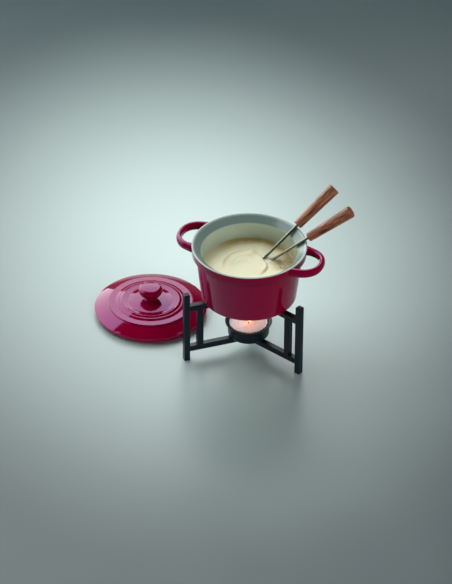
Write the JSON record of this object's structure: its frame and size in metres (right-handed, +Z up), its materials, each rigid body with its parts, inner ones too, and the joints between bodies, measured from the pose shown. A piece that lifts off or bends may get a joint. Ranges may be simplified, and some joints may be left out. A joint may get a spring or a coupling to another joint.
{
  "type": "fondue pot set",
  "caption": "Small tabletop fondue set: glazed pot with ear handles on a black bar stand over a tealight, its lid with a round knob beside it, forks with wooden handles in the pot.",
  "frame": {"origin": "on the table, at the centre of the set's outline seen from above; the stand's axis is at X 32.6 mm, Y -20 mm", "axes": "+Z up; +Y along the back arm of the stand; +X to the right when seen from the front"},
  "size_m": [0.2665, 0.1545, 0.1651],
  "materials": {
    "black_metal": "satin",
    "crimson_glaze": "gloss",
    "steel": "polished",
    "brown_wood": "satin",
    "aluminium": "bright",
    "wax": "satin",
    "wick": "matt"
  },
  "bodies": {
    "stand": {"outer_post_back": "black_metal", "inner_post_back": "black_metal", "upper_rail_back": "black_metal", "lower_rail_back": "black_metal", "outer_post_left": "black_metal", "inner_post_left": "black_metal", "upper_rail_left": "black_metal", "lower_rail_left": "black_metal", "outer_post_right": "black_metal", "inner_post_right": "black_metal", "upper_rail_right": "black_metal", "lower_rail_right": "black_metal", "burner_cup": "black_metal"},
    "pot": {"pot_shell": "crimson_glaze", "pot_handle_left": "crimson_glaze", "pot_handle_right": "crimson_glaze"},
    "lid": {"lid_shell": "crimson_glaze", "lid_knob": "crimson_glaze"},
    "fork_1": {"fork_1_shaft": "steel", "fork_1_handle": "brown_wood"},
    "fork_2": {"fork_2_shaft": "steel", "fork_2_handle": "brown_wood"},
    "tealight": {"tealight_cup": "aluminium", "tealight_wax": "wax", "tealight_wick": "wick"}
  },
  "joints": [
    {"name": "pot_lift", "type": "slide", "parent": "stand", "child": "pot", "axis": [0, 0, 1], "range_m": [0, 0.1]},
    {"name": "lid_lift", "type": "slide", "parent": "stand", "child": "lid", "axis": [0, 0, 1], "range_m": [0, 0.075]},
    {"name": "tealight_lift", "type": "slide", "parent": "stand", "child": "tealight", "axis": [0, 0, 1], "range_m": [0, 0.026]},
    {"name": "fork_1_slide", "type": "slide", "parent": "pot", "child": "fork_1", "axis": [0.6149, 0.5517, 0.5635], "range_m": [0, 0.095]},
    {"name": "fork_2_slide", "type": "slide", "parent": "pot", "child": "fork_2", "axis": [0.7774, 0.1148, 0.6184], "range_m": [0, 0.095]}
  ]
}
